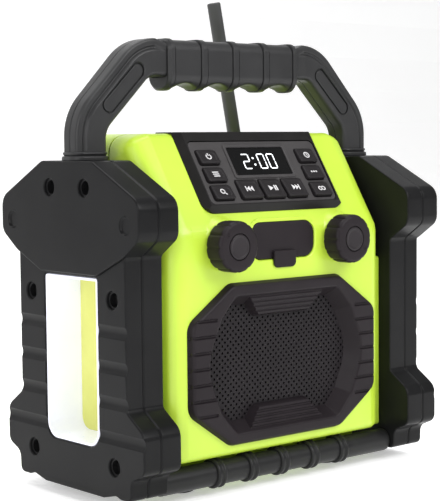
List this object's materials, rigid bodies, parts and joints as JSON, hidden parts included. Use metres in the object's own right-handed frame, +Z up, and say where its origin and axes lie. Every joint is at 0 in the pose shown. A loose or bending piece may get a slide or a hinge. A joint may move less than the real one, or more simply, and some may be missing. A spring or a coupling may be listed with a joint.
{
  "type": "portable speaker",
  "caption": "Portable job-site speaker with a tilted control panel, fluted knobs, an octagonal grille, black end guards with a side lamp, a bent carrying handle and a folding aerial.",
  "frame": {"origin": "middle of the plan on the ground under the feet", "axes": "+X to the right seen from the front, +Y to the back, +Z up"},
  "size_m": [0.25, 0.14, 0.3089],
  "materials": {
    "lime_shell": "satin, lime yellow",
    "guard_black": "fine-grained matte black",
    "plum_plastic": "matte, dark warm grey",
    "soft_rubber": "matte black",
    "steel": "plain",
    "cap_grey": "satin grey",
    "socket_black": "matte black",
    "display_black": "gloss black",
    "mesh_black": "matte black paint",
    "cone_paper": "pressed paper",
    "magnet_grey": "plain",
    "reflector_white": "white",
    "light_panel": "pale yellow light panel",
    "board_green": "green",
    "cell_wrap": "blue wrap"
  },
  "bodies": {
    "body": {"front_shell": "lime_shell", "rear_shell": "lime_shell", "shell_gasket": "soft_rubber", "left_guard_outer": "guard_black", "left_guard_inner": "guard_black", "right_guard_outer": "guard_black", "right_guard_inner": "guard_black", "guard_screws": "steel", "case_screws": "steel", "handle_front": "guard_black", "handle_rear": "guard_black", "handle_grip": "guard_black", "handle_collars": "guard_black", "front_roll_bar": "guard_black", "rear_roll_bar": "guard_black", "feet": "soft_rubber", "control_bezel": "guard_black", "control_plate": "plum_plastic", "display_lens": "display_black", "display_module": "socket_black", "button_board": "board_green", "tact_switches": "steel", "volume_encoder": "steel", "tuning_encoder": "steel", "encoder_nuts": "steel", "port_panel": "socket_black", "usb_socket": "steel", "aux_jack": "socket_black", "grille_frame": "plum_plastic", "grille_plate": "mesh_black", "speaker_basket": "steel", "speaker_surround": "soft_rubber", "speaker_magnet": "magnet_grey", "speaker_screws": "steel", "lamp_reflector": "reflector_white", "lamp_cob": "light_panel", "main_board": "board_green", "battery_pack": "cell_wrap", "charge_socket": "steel", "aerial_screw": "steel"},
    "volume_knob": {"volume_knob": "plum_plastic", "volume_knob_cap": "cap_grey", "volume_shaft": "steel"},
    "tuning_knob": {"tuning_knob": "plum_plastic", "tuning_knob_cap": "cap_grey", "tuning_shaft": "steel"},
    "power_key": {"power_key": "plum_plastic"},
    "mode_key": {"mode_key": "plum_plastic"},
    "scan_key": {"scan_key": "plum_plastic"},
    "previous_key": {"previous_key": "plum_plastic"},
    "play_key": {"play_key": "plum_plastic"},
    "next_key": {"next_key": "plum_plastic"},
    "clock_key": {"clock_key": "plum_plastic"},
    "preset_key": {"preset_key": "plum_plastic"},
    "pair_key": {"pair_key": "plum_plastic"},
    "port_door": {"port_door": "soft_rubber"},
    "charge_cover": {"charge_cover": "soft_rubber"},
    "aerial": {"aerial_knuckle": "soft_rubber", "aerial_whip": "soft_rubber"},
    "cone": {"speaker_cone": "cone_paper"}
  },
  "joints": [
    {"name": "volume_turn", "type": "hinge", "parent": "body", "child": "volume_knob", "pos_m": [-0.0484, -0.06, 0.1508], "axis": [0, 1, 0], "continuous": true},
    {"name": "tuning_turn", "type": "hinge", "parent": "body", "child": "tuning_knob", "pos_m": [0.0484, -0.06, 0.1508], "axis": [0, 1, 0], "continuous": true},
    {"name": "power_key_press", "type": "slide", "parent": "body", "child": "power_key", "axis": [0, 0.8387, -0.5446], "range_m": [0, 0.0008], "stiffness_N_per_m": 400, "springref_m": -0.0005},
    {"name": "mode_key_press", "type": "slide", "parent": "body", "child": "mode_key", "axis": [0, 0.8387, -0.5446], "range_m": [0, 0.0008], "stiffness_N_per_m": 400, "springref_m": -0.0005},
    {"name": "scan_key_press", "type": "slide", "parent": "body", "child": "scan_key", "axis": [0, 0.8387, -0.5446], "range_m": [0, 0.0008], "stiffness_N_per_m": 400, "springref_m": -0.0005},
    {"name": "previous_key_press", "type": "slide", "parent": "body", "child": "previous_key", "axis": [0, 0.8387, -0.5446], "range_m": [0, 0.0008], "stiffness_N_per_m": 400, "springref_m": -0.0005},
    {"name": "play_key_press", "type": "slide", "parent": "body", "child": "play_key", "axis": [0, 0.8387, -0.5446], "range_m": [0, 0.0008], "stiffness_N_per_m": 400, "springref_m": -0.0005},
    {"name": "next_key_press", "type": "slide", "parent": "body", "child": "next_key", "axis": [0, 0.8387, -0.5446], "range_m": [0, 0.0008], "stiffness_N_per_m": 400, "springref_m": -0.0005},
    {"name": "clock_key_press", "type": "slide", "parent": "body", "child": "clock_key", "axis": [0, 0.8387, -0.5446], "range_m": [0, 0.0008], "stiffness_N_per_m": 400, "springref_m": -0.0005},
    {"name": "preset_key_press", "type": "slide", "parent": "body", "child": "preset_key", "axis": [0, 0.8387, -0.5446], "range_m": [0, 0.0008], "stiffness_N_per_m": 400, "springref_m": -0.0005},
    {"name": "pair_key_press", "type": "slide", "parent": "body", "child": "pair_key", "axis": [0, 0.8387, -0.5446], "range_m": [0, 0.0008], "stiffness_N_per_m": 400, "springref_m": -0.0005},
    {"name": "port_door_hinge", "type": "hinge", "parent": "body", "child": "port_door", "pos_m": [0, -0.0533, 0.1634], "axis": [-1, 0, 0], "range_deg": [0, 100]},
    {"name": "charge_cover_hinge", "type": "hinge", "parent": "body", "child": "charge_cover", "pos_m": [-0.05, 0.0543, 0.069], "axis": [1, 0, 0], "range_deg": [0, 90]},
    {"name": "aerial_fold", "type": "hinge", "parent": "body", "child": "aerial", "pos_m": [0.0665, 0.062, 0.19304], "axis": [0, 1, 0], "range_deg": [-78.8, 90]},
    {"name": "cone_drive", "type": "slide", "parent": "body", "child": "cone", "axis": [0, 1, 0], "range_m": [-0.0012, 0.0012], "stiffness_N_per_m": 1200}
  ]
}
